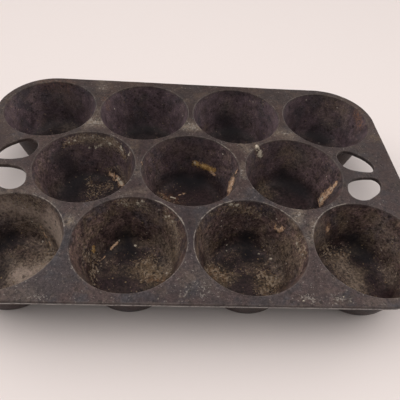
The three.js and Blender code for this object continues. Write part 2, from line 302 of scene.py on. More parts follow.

# soot low in each cup, partly painted shade where the back of each floor lies in shadow; and lips rubbed bright, partly
# wear and partly a painted highlight
MARKS += [
    ("soot_and_shade", [(-112.0, 82.0, 12.0), (-100.0, 84.0, 9.0)], 13.0, 0.45),
    ("soot_and_shade", [(-44.0, 80.0, 6.0), (-38.0, 77.0, 3.0)], 11.0, 0.65),
    ("soot_and_shade", [(28.5, 84.0, 13.0), (37.0, 80.0, 4.0)], 12.0, 0.85),
    ("soot_and_shade", [(107.0, 83.0, 7.0), (116.0, 75.0, 4.0)], 7.5, 0.75),
    ("soot_and_shade", [(-89.0, 20.0, 22.0), (-82.0, 18.0, 6.0), (-84.0, 6.0, 3.0)], 12.0, 0.85),
    ("soot_and_shade", [(-6.6, 22.0, 6.0), (2.0, 19.0, 3.5), (8.0, 21.0, 6.0)], 11.0, 1.0),
    ("soot_and_shade", [(71.0, 25.0, 11.0), (78.0, 21.0, 5.0), (86.0, 14.0, 3.0)], 9.5, 0.9),
    ("soot_and_shade", [(-119.0, -42.0, 4.0), (-113.0, -37.0, 8.0)], 8.0, 1.0),
    ("dust", [(-92.0, -42.0, 3.0), (-98.0, -40.0, 3.0)], 10.0, 0.6),
    ("soot_and_shade", [(-41.0, -35.0, 9.0), (-37.0, -44.0, 3.0)], 8.5, 1.0),
    ("soot_and_shade", [(38.0, -34.0, 10.0), (39.0, -44.0, 3.0)], 9.0, 1.0),
    ("soot_and_shade", [(109.0, -34.0, 11.0), (118.0, -44.0, 4.0)], 9.0, 1.0),
    ("soot_and_shade", [(-39.0, -52.0, 3.0), (-41.0, -62.0, 3.0)], 6.0, 0.5),
    ("soot_and_shade", [(118.0, -50.0, 3.0), (119.0, -58.0, 3.0)], 6.5, 0.6),
    ("soot_and_shade", [(-112.0, -52.0, 3.0), (-114.0, -66.0, 3.0)], 7.0, 0.7),
    # lip arcs: rubbed wear, and partly a painted highlight where the lips catch the light
    ("lip_rub_and_highlight", lip_arc("cup_front_1", 15, 75), 0.50, 0.7),
    ("lip_rub_and_highlight", lip_arc("cup_front_2", 20, 68), 0.50, 0.8),
    ("lip_rub_and_highlight", lip_arc("cup_front_2", 196, 232), 0.5, 0.5),
    ("lip_rub_and_highlight", lip_arc("cup_front_2", -50, -5), 0.5, 0.4),
    ("lip_rub_and_highlight", lip_arc("cup_front_3", 105, 150), 0.50, 0.7),
    ("lip_rub_and_highlight", lip_arc("cup_front_3", 165, 205), 0.45, 0.6),
    ("lip_rub_and_highlight", lip_arc("cup_front_3", 30, 72), 0.50, 0.6),
    ("lip_rub_and_highlight", lip_arc("cup_front_4", 100, 165), 0.50, 0.7),
    ("lip_rub_and_highlight", lip_arc("cup_middle_2", 20, 60), 0.50, 0.6),
    ("lip_rub_and_highlight", lip_arc("cup_middle_1", 30, 66), 0.45, 0.4),
    ("lip_rub_and_highlight", lip_arc("cup_back_3", 20, 55), 0.4, 0.3),
]
KINDS = ("crust", "ochre", "pale", "speck", "yellow", "rust", "dust", "plum", "soot_and_shade", "lip_rub_and_highlight")
THIN = ("crust", "ochre", "pale", "lip_rub_and_highlight")     # these hold a distance, so that their outline stays crisp


def seg_distance(p, pts):
    best = np.full(len(p), 1e9)
    for a, b in zip(pts[:-1], pts[1:]):
        a, b = np.array(a, float), np.array(b, float)
        ab = b - a
        t = np.clip(((p - a) @ ab) / max(ab @ ab, 1e-9), 0, 1)
        best = np.minimum(best, np.linalg.norm(p - (a + t[:, None] * ab), axis=1))
    return best


def mark_fields(p, inside):
    out = {k: np.zeros(len(p)) for k in KINDS}
    for kind, pts, half, strength in MARKS:
        c = np.mean(np.array(pts, float), axis=0)
        reach = half * 3.2 + max(np.linalg.norm(np.array(q) - c) for q in pts)
        near = np.where(np.linalg.norm(p - c, axis=1) < reach)[0]
        if not len(near):
            continue
        d = seg_distance(p[near], pts)
        if kind in THIN:
            v = np.clip(1 - d / (3 * half), 0, 1) * (0.55 + 0.45 * strength)
        else:
            v = smooth(1.25, 0.0, d / half) * strength
        out[kind][near] = np.maximum(out[kind][near], v)
    held = shown_side(p, inside)
    for k in KINDS:
        out[k] *= held
    return out


def shown_side(p, inside):
    """1 on the cups' insides and the deck's top, 0 on the outer walls and the underside, where the marks don't come through."""
    return np.maximum(inside, smooth(DECK_Z + 0.3, TOP - 0.6, p[:, 2]))


def relief(p, inside):
    """How far the cast surface stands off its nominal shape, in mm."""
    d = 0.11 * noise(p, 26.0, 1) + 0.05 * noise(p, 8.0, 2) + 0.035 * noise(p, 3.4, 3)
    f = mark_fields(p, inside)
    lumps = np.maximum(f["crust"], f["ochre"]) + 0.20 * noise(p, 2.4, 5)
    d += (0.30 + 0.25 * noise(p, 3.0, 7)) * smooth(0.58, 0.88, lumps)
    d += 0.16 * smooth(0.60, 0.85, f["pale"])
    d += 0.09 * f["speck"] * np.clip(noise(p, 2.6, 6) + 0.2, 0, 1)
    return d


# ------------------------------------------------------------------ mesh assembly
class Shell:
    """Vertices with a base normal, and faces in two lists: shown ones, and ghosts that only steady the normals at a section line."""

    def __init__(self):
        self.v, self.n, self.tags = [], [], []
        self.faces, self.kind = [], []      # kind 0 smooth, 1 hidden cap, 2 ghost
        self.count = 0

    def add(self, pts, normals, edge=0.0, inside=0.0, floor=0.0, line=0.0):
        pts = np.asarray(pts, float)
        k = len(pts)
        self.v.append(pts)
        self.n.append(np.broadcast_to(np.asarray(normals, float), (k, 3)))
        t = np.zeros((k, 4))
        t[:, 0], t[:, 1], t[:, 2], t[:, 3] = edge, inside, floor, line
        self.tags.append(t)
        ids = np.arange(self.count, self.count + k)
        self.count += k
        return ids

    def strip(self, a, b, kind=0):
        """Closed band of quads between two loops of the same length; a is the outer loop seen with the face's front towards the viewer."""
        m = len(a)
        for i in range(m):
            j = (i + 1) % m
            self.faces.append((a[i], a[j], b[j], b[i]))
            self.kind.append(kind)

    def tris(self, tri, kind=None):
        for i, t in enumerate(tri):
            self.faces.append(tuple(int(x) for x in t))
            self.kind.append(0 if kind is None else int(kind[i]))


def face_normals(v, faces):
    out = np.zeros((len(faces), 3))
    quads = [i for i, f in enumerate(faces) if len(f) == 4]
    tris = [i for i, f in enumerate(faces) if len(f) == 3]
    if quads:
        q = np.array([faces[i] for i in quads])
        out[quads] = 0.5 * np.cross(v[q[:, 2]] - v[q[:, 0]], v[q[:, 3]] - v[q[:, 1]])
    if tris:
        t = np.array([faces[i] for i in tris])
        out[tris] = 0.5 * np.cross(v[t[:, 1]] - v[t[:, 0]], v[t[:, 2]] - v[t[:, 0]])
    return out


def vertex_normals(v, faces, kind):
    fn = face_normals(v, faces)
    n = np.zeros_like(v)
    keep = [i for i in range(len(faces)) if kind[i] != 1]
    for size in (3, 4):
        sel = [i for i in keep if len(faces[i]) == size]
        if not sel:
            continue
        f = np.array([faces[i] for i in sel])
        for c in range(size):
            np.add.at(n, f[:, c], fn[sel])
    length = np.linalg.norm(n, axis=1)
    n[length > 1e-12] /= length[length > 1e-12][:, None]
    return n


def finish_shell(shell):
    base = np.concatenate(shell.v)
    normal = np.concatenate(shell.n)
    tags = np.concatenate(shell.tags)
    moved = base + normal * relief(base, tags[:, 1])[:, None]
    moved[:, 2] = np.maximum(moved[:, 2], 0.0)
    n = vertex_normals(moved, shell.faces, shell.kind)
    blank = np.linalg.norm(n, axis=1) < 0.5
    n[blank] = normal[blank]
    return base, moved, n, tags


ATTRS = KINDS + ("edge", "inside", "floor_area", "row", "foot_highlight_line")


def to_bmesh(shell):
    base, moved, n, tags = finish_shell(shell)
    fields = mark_fields(base, tags[:, 1])
    fields["edge"], fields["inside"], fields["floor_area"] = tags[:, 0], tags[:, 1], tags[:, 2]
    fields["row"] = smooth(70.0, -70.0, base[:, 1])
    fields["foot_highlight_line"] = tags[:, 3]
    bm = bmesh.new()
    nl = bm.verts.layers.float_vector.new("nrm")
    al = {k: bm.verts.layers.float.new(k) for k in ATTRS}
    cap = bm.faces.layers.int.new("cap")
    used = set()
    for f, k in zip(shell.faces, shell.kind):
        if k != 2:
            used.update(int(x) for x in f)
    verts = {}
    for i in sorted(used):
        v = bm.verts.new(moved[i] * MM)
        v[nl] = n[i]
        for k in ATTRS:
            v[al[k]] = float(fields[k][i])
        verts[i] = v
    for f, k in zip(shell.faces, shell.kind):
        if k == 2:
            continue
        face = bm.faces.new([verts[int(x)] for x in f])
        face.smooth = k != 1
        face[cap] = 1 if k == 1 else 0
    bm.normal_update()
    return bm


def to_object(bm, name):
    """An object whose shown faces keep the normals worked out for the whole casting, so no section line shows."""
    bm.verts.index_update()
    me = bpy.data.meshes.new(name)
    bm.to_mesh(me)
    nrm = np.zeros(len(me.vertices) * 3, np.float32)
    me.attributes["nrm"].data.foreach_get("vector", nrm)
    nrm = nrm.reshape(-1, 3)
    nrm /= np.maximum(np.linalg.norm(nrm, axis=1), 1e-9)[:, None]
    cap = np.zeros(len(me.polygons), np.int32)
    me.attributes["cap"].data.foreach_get("value", cap)
    loop_vert = np.zeros(len(me.loops), np.int32)
    me.loops.foreach_get("vertex_index", loop_vert)
    start = np.zeros(len(me.polygons), np.int32)
    total = np.zeros(len(me.polygons), np.int32)
    me.polygons.foreach_get("loop_start", start)
    me.polygons.foreach_get("loop_total", total)
    pn = np.zeros(len(me.polygons) * 3, np.float32)
    me.polygons.foreach_get("normal", pn)
    pn = pn.reshape(-1, 3)
    ln = nrm[loop_vert].copy()
    for i in np.where(cap == 1)[0]:
        ln[start[i]:start[i] + total[i]] = pn[i]
    me.normals_split_custom_set([tuple(map(float, x)) for x in ln])
    me.attributes.remove(me.attributes["nrm"])
    me.attributes.remove(me.attributes["cap"])
    ob = bpy.data.objects.new(name, me)
    bpy.context.scene.collection.objects.link(ob)
    return ob


# ------------------------------------------------------------------ outlines
def rounded_rect(hx, hy, r, step):
    pts, nrm = [], []
    arc = max(8, int(round(r * math.pi / 2 / step)))
    runs = [((hx - r, -hy), (hx - r, -hy + r), -90), ((hx, hy - r), (hx - r, hy - r), 0),
            ((-hx + r, hy), (-hx + r, hy - r), 90), ((-hx, -hy + r), (-hx + r, -hy + r), 180)]
    prev = (-hx + r, -hy)
    for start, centre, a0 in runs:
        d = math.hypot(start[0] - prev[0], start[1] - prev[1])
        k = max(1, int(round(d / step)))
        a = math.radians(a0)
        for i in range(k):
            pts.append((prev[0] + (start[0] - prev[0]) * i / k, prev[1] + (start[1] - prev[1]) * i / k))
            nrm.append((math.cos(a), math.sin(a)))
        for i in range(arc):
            b = a + math.pi / 2 * i / arc
            pts.append((centre[0] + r * math.cos(b), centre[1] + r * math.sin(b)))
            nrm.append((math.cos(b), math.sin(b)))
        b = a + math.pi / 2
        prev = (centre[0] + r * math.cos(b), centre[1] + r * math.sin(b))
    return np.array(pts), np.array(nrm)


def catmull(points, per):
    p = np.array(points, float)
    m = len(p)
    out = []
    for i in range(m):
        p0, p1, p2, p3 = p[i - 1], p[i], p[(i + 1) % m], p[(i + 2) % m]
        t0 = 0.0
        t1 = t0 + np.linalg.norm(p1 - p0) ** 0.5
        t2 = t1 + np.linalg.norm(p2 - p1) ** 0.5
        t3 = t2 + np.linalg.norm(p3 - p2) ** 0.5
        for k in range(per):
            t = t1 + (t2 - t1) * k / per
            a1 = (t1 - t) / (t1 - t0) * p0 + (t - t0) / (t1 - t0) * p1
            a2 = (t2 - t) / (t2 - t1) * p1 + (t - t1) / (t2 - t1) * p2
            a3 = (t3 - t) / (t3 - t2) * p2 + (t - t2) / (t3 - t2) * p3
            b1 = (t2 - t) / (t2 - t0) * a1 + (t - t0) / (t2 - t0) * a2
            b2 = (t3 - t) / (t3 - t1) * a2 + (t - t1) / (t3 - t1) * a3
            out.append((t2 - t) / (t2 - t1) * b1 + (t - t1) / (t2 - t1) * b2)
    return np.array(out)


def respace(poly, n):
    q = np.vstack([poly, poly[:1]])
    s = np.concatenate([[0], np.cumsum(np.linalg.norm(np.diff(q, axis=0), axis=1))])
    t = np.linspace(0, s[-1], n, endpoint=False)
    return np.column_stack([np.interp(t, s, q[:, 0]), np.interp(t, s, q[:, 1])])


def outward(poly):
    """Unit normals of a counter-clockwise outline, pointing out of it."""
    d = np.roll(poly, -1, axis=0) - np.roll(poly, 1, axis=0)
    n = np.column_stack([d[:, 1], -d[:, 0]])
    return n / np.linalg.norm(n, axis=1)[:, None]


def mouth_angles():
    return np.arange(SEG) * 2 * math.pi / SEG


def ring(c, r, z):
    a = mouth_angles()
    return np.column_stack([c[0] + r * np.cos(a), c[1] + r * np.sin(a), np.full(SEG, z)])


def ring_normal(nr, nz):
    a = mouth_angles()
    return np.column_stack([nr * np.cos(a), nr * np.sin(a), np.full(SEG, nz)])


# ------------------------------------------------------------------ the wall inside a cup
LEAN = math.atan(IN_SLOPE)
WALL_N = (-math.cos(LEAN), math.sin(LEAN))


def wall_r(z):
    return MOUTH_R - IN_SLOPE * (TOP - z)


def lip_rows():
    """(r, z, nr, nz, edge) from the deck's plane down to the wall."""
    zc = TOP - LIP
    rc = wall_r(zc) + LIP / math.cos(LEAN)
    rows = []
    for k in range(7):
        a = math.radians(90) + (math.radians(90) - LEAN) * k / 6
        rows.append((rc + LIP * math.cos(a), zc + LIP * math.sin(a), math.cos(a), math.sin(a),
                     math.sin(math.pi * (0.12 + 0.76 * k / 6))))
    return rows


# Rows from the lip to the section line and on down: both sides of the line share them.
UPPER_WALL = [36.2, DECK_Z]
LOWER_WALL_STEP = 1.3


def lower_wall():
    lean = LEAN
    tangent = FLOOR_FILLET / math.tan((math.pi / 2 + lean) / 2)
    cr, cz = FLOOR_R - tangent, FLOOR_T + FLOOR_FILLET
    zt = cz + FLOOR_FILLET * math.sin(-lean)
    n = int(round((DECK_Z - zt) / LOWER_WALL_STEP))
    rows = [(wall_r(DECK_Z + (zt - DECK_Z) * k / n), DECK_Z + (zt - DECK_Z) * k / n, WALL_N[0], WALL_N[1])
            for k in range(1, n + 1)]
    steps = 10
    for k in range(1, steps + 1):
        a = -lean - (math.pi / 2 - lean) * k / steps
        rows.append((cr + FLOOR_FILLET * math.cos(a), cz + FLOOR_FILLET * math.sin(a), -math.cos(a), -math.sin(a)))
    return rows


# ------------------------------------------------------------------ flat fields with holes
def fill_flat(loops, keep, spacing, seed):
    """Triangles over a flat field. loops are closed outlines (n, 2); keep(points) is how far a point is inside the field."""
    allpts = np.vstack(loops)
    lo, hi = allpts.min(0), allpts.max(0)
    rng = np.random.RandomState(seed)
    xs = np.arange(lo[0], hi[0], spacing)
    ys = np.arange(lo[1], hi[1], spacing * 0.866)
    gx, gy = np.meshgrid(xs, ys)
    gx = gx + (np.arange(len(ys)) % 2)[:, None] * spacing / 2
    grid = np.column_stack([gx.ravel(), gy.ravel()])
    grid += rng.uniform(-0.12, 0.12, grid.shape) * spacing
    grid = grid[keep(grid) > spacing * 0.55]
    pts = np.vstack([allpts, grid])
    edges, start = [], 0
    for lp in loops:
        m = len(lp)
        edges += [(start + i, start + (i + 1) % m) for i in range(m)]
        start += m
    vs, _, fs, orig, _, _ = delaunay_2d_cdt([Vector(p) for p in pts], edges, [], 0, 1e-6)
    out = np.array([tuple(v) for v in vs])
    source = [o[0] if o else -1 for o in orig]
    tri = np.array([f for f in fs if len(f) == 3])
    mid = out[tri].mean(axis=1)
    tri = tri[keep(mid) > 0]
    a, b, c = out[tri[:, 0]], out[tri[:, 1]], out[tri[:, 2]]
    area = (b[:, 0] - a[:, 0]) * (c[:, 1] - a[:, 1]) - (b[:, 1] - a[:, 1]) * (c[:, 0] - a[:, 0])
    flip = area < 0
    tri[flip] = tri[flip][:, ::-1]
    return out, source, tri, len(allpts)


def inside_rrect(p, hx, hy, r):
    q = np.abs(p) - np.array([hx - r, hy - r])
    outside = np.linalg.norm(np.maximum(q, 0), axis=1) + np.minimum(np.maximum(q[:, 0], q[:, 1]), 0)
    return r - outside


def outside_poly(p, poly):
    """Signed distance outside a closed outline, for points near it."""
    a, b = poly, np.roll(poly, -1, axis=0)
    best = np.full(len(p), 1e9)
    inside = np.zeros(len(p), bool)
    for (x0, y0), (x1, y1) in zip(a, b):
        ab = np.array([x1 - x0, y1 - y0])
        t = np.clip(((p - (x0, y0)) @ ab) / (ab @ ab), 0, 1)
        best = np.minimum(best, np.linalg.norm(p - (np.array([x0, y0]) + t[:, None] * ab), axis=1))
        crosses = (y0 > p[:, 1]) != (y1 > p[:, 1])
        if abs(y1 - y0) > 1e-12:
            xi = (x1 - x0) * (p[:, 1] - y0) / (y1 - y0) + x0
            inside ^= crosses & (p[:, 0] < xi)
    return np.where(inside, -best, best)


# ------------------------------------------------------------------ deck
def build_deck():
    s = Shell()
    rim, rim_n = rounded_rect(HALF_L, HALF_W, CORNER_R, 1.2)
    quarter = respace(catmull(OPENING, 12), 76)
    d = np.roll(quarter, -1, axis=0) - quarter
    area = (quarter[:, 0] * np.roll(quarter[:, 1], -1) - np.roll(quarter[:, 0], -1) * quarter[:, 1]).sum()
    if area < 0:
        quarter = quarter[::-1]
    slots = []
    for sx in (1, -1):
        for sy in (1, -1):
            q = quarter * np.array([sx, sy])
            if sx * sy < 0:
                q = q[::-1]
            slots.append((q, outward(q)))
    lip = lip_rows()

    def field(p, rim_in, slot_out, mouth):
        v = inside_rrect(p, HALF_L, HALF_W, CORNER_R) - rim_in
        for c in CUPS.values():
            v = np.minimum(v, np.hypot(p[:, 0] - c[0], p[:, 1] - c[1]) - mouth)
        for q, _ in slots:
            near = (np.abs(p[:, 0] - q[:, 0].mean()) < 20) & (np.abs(p[:, 1] - q[:, 1].mean()) < 20)
            if near.any():
                v[near] = np.minimum(v[near], outside_poly(p[near], q) - slot_out)
        return v

    def layer(z, up, rim_in, slot_out, mouth, spacing, seed):
        loops = [rim - rim_n * rim_in] + [q + nq * slot_out for q, nq in slots]
        for c in CUPS.values():
            loops.append(ring(c, mouth, z)[:, :2])
        flat, source, tri, fixed = fill_flat(loops, lambda p: field(p, rim_in, slot_out, mouth), spacing, seed)
        nn = np.tile(np.array([0.0, 0.0, 1.0 if up else -1.0]), (len(flat), 1))
        within = np.zeros(len(flat))
        where = {src: k for k, src in enumerate(source) if 0 <= src < fixed}
        rows, start = [], 0
        for lp in loops:
            rows.append(np.array([where[start + k] for k in range(len(lp))]))
            start += len(lp)
        kind = np.zeros(len(tri), int)
        if not up:
            # a mouth's ring here is the section line in the cup's wall, so it takes the wall's normal and tags
            for lp in rows[1 + len(slots):]:
                nn[lp] = ring_normal(*WALL_N)
                within[lp] = 1.0
            on_line = np.zeros(len(flat), bool)
            on_line[np.concatenate(rows[1 + len(slots):])] = True
            kind[on_line[tri].any(axis=1)] = 1
        ids = s.add(np.column_stack([flat, np.full(len(flat), z)]), nn, inside=within)
        s.tris(ids[tri] if up else ids[tri][:, ::-1], kind)
        return [ids[lp] for lp in rows]

    top = layer(TOP, True, EDGE_TOP, EDGE_TOP, lip[0][0], 1.35, 3)
    low = layer(DECK_Z, False, EDGE_LOW, EDGE_LOW, wall_r(DECK_Z), 1.9, 4)

    def side_rows():
        rows = []
        for k in range(1, 6):
            a = math.pi / 2 * k / 5
            rows.append((EDGE_TOP - EDGE_TOP * math.sin(a), TOP - EDGE_TOP + EDGE_TOP * math.cos(a), math.sin(a), math.cos(a),
                         math.sin(math.pi * (0.1 + 0.8 * k / 5))))
        rows.append((0.0, (TOP + DECK_Z) / 2 + 0.3, 1.0, 0.0, 0.1))
        rows.append((0.0, (TOP + DECK_Z) / 2 - 0.25, 1.0, 0.0, 0.1))
        for k in range(0, 5):
            a = math.pi / 2 * k / 5
            rows.append((EDGE_LOW - EDGE_LOW * math.cos(a), DECK_Z + EDGE_LOW - EDGE_LOW * math.sin(a), math.cos(a), -math.sin(a),
                         0.6 * math.sin(math.pi * (0.1 + 0.8 * k / 5))))
        return rows

    for k, (poly, n2, sign) in enumerate([(rim, rim_n, 1)] + [(q, -nq, -1) for q, nq in slots]):
        prev = top[k]
        for inset, z, c, sn, edge in side_rows():
            pts = np.column_stack([poly - n2 * inset, np.full(len(poly), z)])
            nn = np.column_stack([n2 * c, np.full(len(poly), sn)])
            # the outer rim's lower arris is marked for a painted highlight, a pale line standing in for light caught
            # there
            foot_highlight_band = 1.0 if sign > 0 and DECK_Z + 0.1 < z < DECK_Z + 1.3 else 0.0
            ids = s.add(pts, nn, edge=edge, line=foot_highlight_band)
            s.strip(ids, prev) if sign > 0 else s.strip(prev, ids)
            prev = ids
        s.strip(low[k], prev) if sign > 0 else s.strip(prev, low[k])

    for k, (name, c) in enumerate(CUPS.items()):
        prev = top[1 + len(slots) + k]
        for r, z, nr, nz, edge in lip[1:]:
            ids = s.add(ring(c, r, z), ring_normal(nr, nz), edge=edge, inside=smooth(TOP - 0.2, TOP - 1.2, np.array([z]))[0])
            s.strip(prev, ids)
            prev = ids
        for z in UPPER_WALL[:-1]:
            ids = s.add(ring(c, wall_r(z), z), ring_normal(*WALL_N), inside=1.0)
            s.strip(prev, ids)
            prev = ids
        seam = low[1 + len(slots) + k]
        s.strip(prev, seam)
        r, z, nr, nz = lower_wall()[0]
        ghost = s.add(ring(c, r, z), ring_normal(nr, nz), inside=1.0)
        s.strip(seam, ghost, kind=2)
    return s


# ------------------------------------------------------------------ one cup
def build_cup(c):
    s = Shell()
    seam = s.add(ring(c, wall_r(DECK_Z), DECK_Z), ring_normal(*WALL_N), inside=1.0)
    above = s.add(ring(c, wall_r(UPPER_WALL[0]), UPPER_WALL[0]), ring_normal(*WALL_N), inside=1.0)
    s.strip(above, seam, kind=2)
    prev = seam
    rows = lower_wall()
    for r, z, nr, nz in rows[:-1]:
        fl = smooth(FLOOR_T + FLOOR_FILLET, FLOOR_T, np.array([z]))[0]
        ids = s.add(ring(c, r, z), ring_normal(nr, nz), inside=1.0, floor=fl)
        s.strip(prev, ids)
        prev = ids
    r_floor = rows[-1][0]
    loop = ring(c, r_floor, FLOOR_T)[:, :2]
    flat, source, tri, fixed = fill_flat([loop], lambda p: r_floor - np.hypot(p[:, 0] - c[0], p[:, 1] - c[1]), 1.15, 21)
    ids = s.add(np.column_stack([flat, np.full(len(flat), FLOOR_T)]), (0, 0, 1), inside=1.0, floor=1.0)
    s.tris(ids[tri])
    where = {src: int(ids[k]) for k, src in enumerate(source) if 0 <= src < fixed}
    s.strip(prev, np.array([where[k] for k in range(SEG)]))

    # outside, from the base up
    lean = math.atan(OUT_SLOPE)
    tangent = BASE_FILLET / math.tan((math.pi / 2 + lean) / 2)
    cr, cz = OUT_BASE_R - tangent, BASE_FILLET
    loop = ring(c, cr, 0.0)[:, :2]
    flat, source, tri, fixed = fill_flat([loop], lambda p: cr - np.hypot(p[:, 0] - c[0], p[:, 1] - c[1]), 1.9, 22)
    ids = s.add(np.column_stack([flat, np.zeros(len(flat))]), (0, 0, -1))
    s.tris(ids[tri][:, ::-1])
    where = {src: int(ids[k]) for k, src in enumerate(source) if 0 <= src < fixed}
    prev = np.array([where[k] for k in range(SEG)])
    steps = 8
    for k in range(1, steps + 1):
        a = -math.pi / 2 + (math.pi / 2 - lean) * k / steps
        ids = s.add(ring(c, cr + BASE_FILLET * math.cos(a), cz + BASE_FILLET * math.sin(a)), ring_normal(math.cos(a), math.sin(a)))
        s.strip(ids, prev)
        prev = ids
        z_now = cz + BASE_FILLET * math.sin(a)
    # the fillet under the deck: centre outside the wall, below the deck
    zf = DECK_Z + 0.05
    fr = FLARE
    zc = zf - fr
    rc = OUT_TOP_R - OUT_SLOPE * (DECK_Z - zc) + fr / math.cos(lean)
    z_end = zc - fr * math.sin(lean)
    n = int(round((z_end - z_now) / 1.9))
    for k in range(1, n + 1):
        z = z_now + (z_end - z_now) * k / n
        ids = s.add(ring(c, OUT_TOP_R - OUT_SLOPE * (DECK_Z - z), z), ring_normal(math.cos(lean), -math.sin(lean)))
        s.strip(ids, prev)
        prev = ids
    for k in range(1, 6):
        a = math.pi - lean * 0 - (math.pi / 2) * k / 5
        a0 = math.pi + lean
        a = a0 + (math.pi / 2 - a0) * k / 5
        ids = s.add(ring(c, rc + fr * math.cos(a), zc + fr * math.sin(a)), ring_normal(-math.cos(a), -math.sin(a)))
        s.strip(ids, prev)
        prev = ids
    s.strip(prev, seam, kind=1)
    return s


# ------------------------------------------------------------------ material
def build_iron():
    mat = bpy.data.materials.new("seasoned_iron_surface")
    mat.use_nodes = True
    nt = mat.node_tree
    nt.nodes.clear()
    out = nt.nodes.new("ShaderNodeOutputMaterial")
    bsdf = nt.nodes.new("ShaderNodeBsdfPrincipled")
    nt.links.new(bsdf.outputs["BSDF"], out.inputs["Surface"])

    def put(sock, val):
        if isinstance(val, bpy.types.NodeSocket):
            nt.links.new(val, sock)
        else:
            sock.default_value = val

    def math_(op, a, b=None, c=None, clamp=False):
        n = nt.nodes.new("ShaderNodeMath")
        n.operation = op
        n.use_clamp = clamp
        put(n.inputs[0], a)
        if b is not None:
            put(n.inputs[1], b)
        if c is not None:
            put(n.inputs[2], c)
        return n.outputs[0]

    def attr(name):
        n = nt.nodes.new("ShaderNodeAttribute")
        n.attribute_type = "GEOMETRY"
        n.attribute_name = name
        return n.outputs["Fac"]

    def mapped(val, a, b, lo=0.0, hi=1.0, mode="SMOOTHSTEP"):
        n = nt.nodes.new("ShaderNodeMapRange")
        n.interpolation_type = mode
        put(n.inputs["Value"], val)
        n.inputs["From Min"].default_value = a
        n.inputs["From Max"].default_value = b
        n.inputs["To Min"].default_value = lo
        n.inputs["To Max"].default_value = hi
        return n.outputs["Result"]

    def mix(fac, a, b):
        n = nt.nodes.new("ShaderNodeMix")
        n.data_type = "RGBA"
        put(n.inputs["Factor"], fac)
        put(n.inputs["A"], a if isinstance(a, bpy.types.NodeSocket) else (*a, 1.0))
        put(n.inputs["B"], b if isinstance(b, bpy.types.NodeSocket) else (*b, 1.0))
        return n.outputs["Result"]

    def mixf(fac, a, b):
        n = nt.nodes.new("ShaderNodeMix")
        n.data_type = "FLOAT"
        put(n.inputs["Factor"], fac)
        put(n.inputs["A"], a)
        put(n.inputs["B"], b)
        return n.outputs["Result"]

    def times(col, fac):
        n = nt.nodes.new("ShaderNodeVectorMath")
        n.operation = "SCALE"
        put(n.inputs[0], col)
        put(n.inputs["Scale"], fac)
        return n.outputs[0]

    tc = nt.nodes.new("ShaderNodeTexCoord")
    vm = nt.nodes.new("ShaderNodeVectorMath")
    vm.operation = "SCALE"
    vm.inputs["Scale"].default_value = 1000.0
    nt.links.new(tc.outputs["Object"], vm.inputs[0])
    pos = vm.outputs[0]

    def tex(size, detail=3.0, rough=0.55, shift=0.0, dist=0.0):
        n = nt.nodes.new("ShaderNodeTexNoise")
        add = nt.nodes.new("ShaderNodeVectorMath")
        add.operation = "ADD"
        nt.links.new(pos, add.inputs[0])
        add.inputs[1].default_value = (shift, shift * 0.7, -shift)
        nt.links.new(add.outputs[0], n.inputs["Vector"])
        n.inputs["Scale"].default_value = 1.0 / size
        n.inputs["Detail"].default_value = detail
        n.inputs["Roughness"].default_value = rough
        n.inputs["Distortion"].default_value = dist
        return n.outputs["Fac"]

    def grains(cell, shift, density, stir=0.35):
        """Scattered grains, a few in every hundred cells: density is the share of cells that hold one."""
        wob = nt.nodes.new("ShaderNodeTexNoise")
        add = nt.nodes.new("ShaderNodeVectorMath")
        add.operation = "ADD"
        nt.links.new(pos, add.inputs[0])
        add.inputs[1].default_value = (shift, -shift, shift * 0.3)
        nt.links.new(add.outputs[0], wob.inputs["Vector"])
        wob.inputs["Scale"].default_value = 1.3 / cell
        wob.inputs["Detail"].default_value = 2.0
        mad = nt.nodes.new("ShaderNodeVectorMath")
        mad.operation = "MULTIPLY_ADD"
        nt.links.new(wob.outputs["Color"], mad.inputs[0])
        mad.inputs[1].default_value = (cell * stir * 2,) * 3
        nt.links.new(add.outputs[0], mad.inputs[2])
        v = nt.nodes.new("ShaderNodeTexVoronoi")
        v.feature = "F1"
        v.inputs["Scale"].default_value = 1.0 / cell
        nt.links.new(mad.outputs[0], v.inputs["Vector"])
        sep = nt.nodes.new("ShaderNodeSeparateColor")
        nt.links.new(v.outputs["Color"], sep.inputs[0])
        has = math_("GREATER_THAN", density, sep.outputs[0])
        size = mapped(sep.outputs[1], 0.0, 1.0, 0.22, 0.52, "LINEAR")
        body = nt.nodes.new("ShaderNodeMath")
        body.operation = "SUBTRACT"
        nt.links.new(size, body.inputs[0])
        nt.links.new(v.outputs["Distance"], body.inputs[1])
        return math_("MULTIPLY", has, mapped(body.outputs[0], 0.0, 0.10)), sep.outputs[2]

    big = tex(24.0, 3.0, 0.5, 3.0)
    mid = tex(6.5, 4.0, 0.6, 40.0, 0.4)
    small = tex(2.1, 4.0, 0.65, 90.0)
    grain = tex(0.7, 2.0, 0.6, 170.0)
    film = tex(11.0, 5.0, 0.65, 330.0, 0.8)
    blotch = tex(15.0, 4.0, 0.6, 410.0, 0.5)
    rough_edge = math_("ADD", math_("MULTIPLY", small, 0.6), math_("MULTIPLY", grain, 0.4))

    inside = attr("inside")
    floor_a = attr("floor_area")
    edge = attr("edge")
    row = attr("row")
    crust, ochre, pale, lip_rub_and_highlight = attr("crust"), attr("ochre"), attr("pale"), attr("lip_rub_and_highlight")
    speck, yellow, rust, dust = attr("speck"), attr("yellow"), attr("rust"), attr("dust")
    plum, soot_and_shade = attr("plum"), attr("soot_and_shade")
    line = attr("foot_highlight_line")
    sep = nt.nodes.new("ShaderNodeSeparateXYZ")
    nt.links.new(pos, sep.inputs[0])
    # how far up the wall the dark lower colour reaches: the back cups are dark only on their floors, the front ones
    # well up the wall too; this darkening is partly soot and partly painted shade, set row by row
    up = math_("DIVIDE", math_("SUBTRACT", sep.outputs["Z"], 3.2), mixf(row, 6.0, 24.0))
    height_up = mapped(up, 0.0, 1.0)

